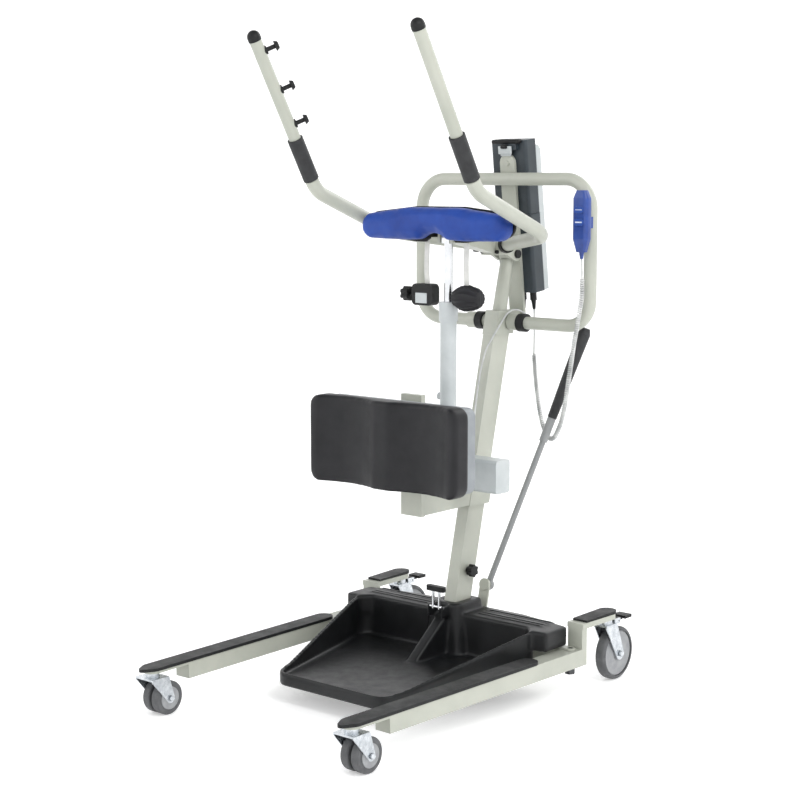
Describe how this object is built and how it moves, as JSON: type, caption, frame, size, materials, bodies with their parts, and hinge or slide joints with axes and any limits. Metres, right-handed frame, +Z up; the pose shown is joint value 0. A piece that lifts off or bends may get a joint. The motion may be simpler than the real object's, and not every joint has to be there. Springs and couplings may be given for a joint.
{
  "type": "patient lift hoist",
  "caption": "Sit-to-stand patient lift: spreading base on casters, footplate, leaning mast, electric boom with padded chest bar and raised arms, knee pad, push handle, handset.",
  "frame": {"origin": "centre of the bounding box, on the floor under the casters", "axes": "+Z up; -Y is the front, where the legs point and the patient stands; +X is the side with the handset and the spreader lever"},
  "size_m": [0.6732, 1.026, 1.4829],
  "materials": {
    "frame_paint": "satin powder coat",
    "black_plastic": "fine texture",
    "zinc": "bright zinc",
    "bolt_steel": "dark",
    "tyre_grey": "matt",
    "hub_grey": "satin",
    "knee_skin": "moulded foam skin",
    "blue_vinyl": "satin vinyl",
    "light_plastic": "satin",
    "chrome": "polished",
    "red_plastic": "gloss",
    "grip_rubber": "matt",
    "webbing": "woven",
    "pouch_fabric": "woven",
    "slate_plastic": "fine texture",
    "blue_plastic": "satin",
    "lever_paint": "satin",
    "cord_grey": "satin"
  },
  "bodies": {
    "base": {"base_frame": "frame_paint", "pivot_bolts": "bolt_steel", "footplate": "black_plastic", "mast": "frame_paint", "mast_head": "frame_paint", "support_arm": "frame_paint", "actuator_pin": "chrome", "push_handle": "frame_paint", "handle_rings": "black_plastic", "box_post": "frame_paint", "control_box": "slate_plastic", "box_back_cover": "light_plastic", "handset": "blue_plastic", "cord_plugs": "black_plastic", "actuator_cable": "cord_grey", "handset_cord_top": "cord_grey", "handset_cord_curl": "cord_grey", "handset_cord_end": "cord_grey"},
    "footplate_catch": {"footplate_latch": "black_plastic", "latch_rods": "chrome"},
    "mast_clamp_knob": {"mast_knob": "black_plastic"},
    "actuator": {"actuator_tube": "light_plastic", "actuator_motor": "light_plastic"},
    "actuator_ram": {"actuator_rod": "chrome"},
    "release_key": {"release_button": "red_plastic"},
    "boom": {"saddle": "frame_paint", "saddle_fittings": "black_plastic", "boom_bar": "frame_paint", "arm_tubes": "frame_paint", "arm_grips": "grip_rubber", "arm_end_caps": "black_plastic", "sling_pegs": "black_plastic", "chest_backing": "black_plastic", "chest_pad": "blue_vinyl", "strap_tails": "webbing", "strap_pouch": "pouch_fabric", "strap_clamp": "black_plastic"},
    "strap_knob": {"clamp_knob": "black_plastic"},
    "knee_support": {"knee_backplate": "hub_grey", "knee_pad": "knee_skin"},
    "battery_pack": {"battery": "slate_plastic"},
    "key_up": {"button_up": "blue_plastic"},
    "key_down": {"button_down": "blue_plastic"},
    "lever": {"spreader_lever": "lever_paint", "lever_grip": "grip_rubber"},
    "leg_right_arm": {"leg_right": "frame_paint", "leg_caps_right": "black_plastic"},
    "front_swivel_right": {"front_fork_right": "zinc"},
    "front_wheelset_right": {"front_wheels_right": "tyre_grey"},
    "rear_swivel_right": {"rear_fork_right": "zinc"},
    "rear_wheel_right": {"rear_tyre_right": "tyre_grey", "rear_hub_right": "hub_grey"},
    "brake_right": {"brake_pedal_right": "black_plastic"},
    "leg_left_arm": {"leg_left": "frame_paint", "leg_caps_left": "black_plastic"},
    "front_swivel_left": {"front_fork_left": "zinc"},
    "front_wheelset_left": {"front_wheels_left": "tyre_grey"},
    "rear_swivel_left": {"rear_fork_left": "zinc"},
    "rear_wheel_left": {"rear_tyre_left": "tyre_grey", "rear_hub_left": "hub_grey"},
    "brake_left": {"brake_pedal_left": "black_plastic"}
  },
  "joints": [
    {"name": "leg_right_spread", "type": "hinge", "parent": "base", "child": "leg_right_arm", "pos_m": [0.311, 0.24085, 0.085], "axis": [0, 0, 1], "range_deg": [0, 12]},
    {"name": "front_swivel_right_turn", "type": "hinge", "parent": "leg_right_arm", "child": "front_swivel_right", "pos_m": [0.2922, -0.4769, 0.1], "axis": [0, 0, 1], "continuous": true},
    {"name": "front_wheels_right_roll", "type": "hinge", "parent": "front_swivel_right", "child": "front_wheelset_right", "pos_m": [0.2922, -0.4489, 0.0375], "axis": [1, 0, 0], "continuous": true},
    {"name": "rear_swivel_right_turn", "type": "hinge", "parent": "leg_right_arm", "child": "rear_swivel_right", "pos_m": [0.31461, 0.37881, 0.155], "axis": [0, 0, 1], "continuous": true},
    {"name": "rear_wheel_right_roll", "type": "hinge", "parent": "rear_swivel_right", "child": "rear_wheel_right", "pos_m": [0.31461, 0.4148, 0.0625], "axis": [1, 0, 0], "continuous": true},
    {"name": "brake_right_press", "type": "hinge", "parent": "rear_swivel_right", "child": "brake_right", "pos_m": [0.31461, 0.4148, 0.14], "axis": [-1, 0, 0], "range_deg": [0, 10], "stiffness_Nm_per_rad": 1.5, "springref_deg": -2.86},
    {"name": "leg_left_spread", "type": "hinge", "parent": "base", "child": "leg_left_arm", "pos_m": [-0.311, 0.24085, 0.085], "axis": [0, 0, -1], "range_deg": [0, 12]},
    {"name": "front_swivel_left_turn", "type": "hinge", "parent": "leg_left_arm", "child": "front_swivel_left", "pos_m": [-0.2922, -0.4769, 0.1], "axis": [0, 0, 1], "continuous": true},
    {"name": "front_wheels_left_roll", "type": "hinge", "parent": "front_swivel_left", "child": "front_wheelset_left", "pos_m": [-0.2922, -0.4489, 0.0375], "axis": [1, 0, 0], "continuous": true},
    {"name": "rear_swivel_left_turn", "type": "hinge", "parent": "leg_left_arm", "child": "rear_swivel_left", "pos_m": [-0.31461, 0.37881, 0.155], "axis": [0, 0, 1], "continuous": true},
    {"name": "rear_wheel_left_roll", "type": "hinge", "parent": "rear_swivel_left", "child": "rear_wheel_left", "pos_m": [-0.31461, 0.4148, 0.0625], "axis": [1, 0, 0], "continuous": true},
    {"name": "brake_left_press", "type": "hinge", "parent": "rear_swivel_left", "child": "brake_left", "pos_m": [-0.31461, 0.4148, 0.14], "axis": [-1, 0, 0], "range_deg": [0, 10], "stiffness_Nm_per_rad": 1.5, "springref_deg": -2.86},
    {"name": "boom_lift", "type": "hinge", "parent": "base", "child": "boom", "pos_m": [0, 0.40786, 0.985], "axis": [-1, 0, 0], "range_deg": [-25, 12]},
    {"name": "actuator_tilt", "type": "hinge", "parent": "base", "child": "actuator", "pos_m": [0, 0.18285, 0.466], "axis": [-1, 0, 0], "range_deg": [-1.2, 1.2]},
    {"name": "ram_extend", "type": "slide", "parent": "actuator", "child": "actuator_ram", "axis": [0, 0, 1], "range_m": [-0.1, 0.05]},
    {"name": "release_press", "type": "slide", "parent": "actuator", "child": "release_key", "axis": [1, 0, 0], "range_m": [0, 0.0015], "stiffness_N_per_m": 300, "springref_m": -0.001},
    {"name": "strap_knob_turn", "type": "hinge", "parent": "boom", "child": "strap_knob", "pos_m": [-0.1, 0.17685, 0.897], "axis": [1, 0, 0], "continuous": true},
    {"name": "mast_knob_turn", "type": "hinge", "parent": "base", "child": "mast_clamp_knob", "pos_m": [0.02, 0.23725, 0.246], "axis": [1, 0, 0], "continuous": true},
    {"name": "footplate_latch_tip", "type": "hinge", "parent": "base", "child": "footplate_catch", "pos_m": [0, 0.14085, 0.172], "axis": [1, 0, 0], "range_deg": [0, 35]},
    {"name": "knee_height", "type": "slide", "parent": "base", "child": "knee_support", "axis": [0, 0, 1], "range_m": [-0.04, 0.05]},
    {"name": "battery_lift", "type": "slide", "parent": "base", "child": "battery_pack", "axis": [0, -0.1219, 0.9925], "range_m": [0, 0.06]},
    {"name": "key_up_press", "type": "slide", "parent": "base", "child": "key_up", "axis": [0, 1, 0], "range_m": [0, 0.0015], "stiffness_N_per_m": 300, "springref_m": -0.001},
    {"name": "key_down_press", "type": "slide", "parent": "base", "child": "key_down", "axis": [0, 1, 0], "range_m": [0, 0.0015], "stiffness_N_per_m": 300, "springref_m": -0.001},
    {"name": "lever_swing", "type": "hinge", "parent": "base", "child": "lever", "pos_m": [0.024, 0.30285, 0.2], "axis": [0, 0.9744, -0.225], "range_deg": [-12, 0]}
  ],
  "couplings": [
    {"joint": "leg_left_spread", "follows": "leg_right_spread", "ratio": 1},
    {"joint": "lever_swing", "follows": "leg_right_spread", "ratio": -1},
    {"joint": "ram_extend", "follows": "boom_lift", "m_per_rad": 0.225},
    {"joint": "actuator_tilt", "follows": "boom_lift", "ratio": 0.03}
  ]
}
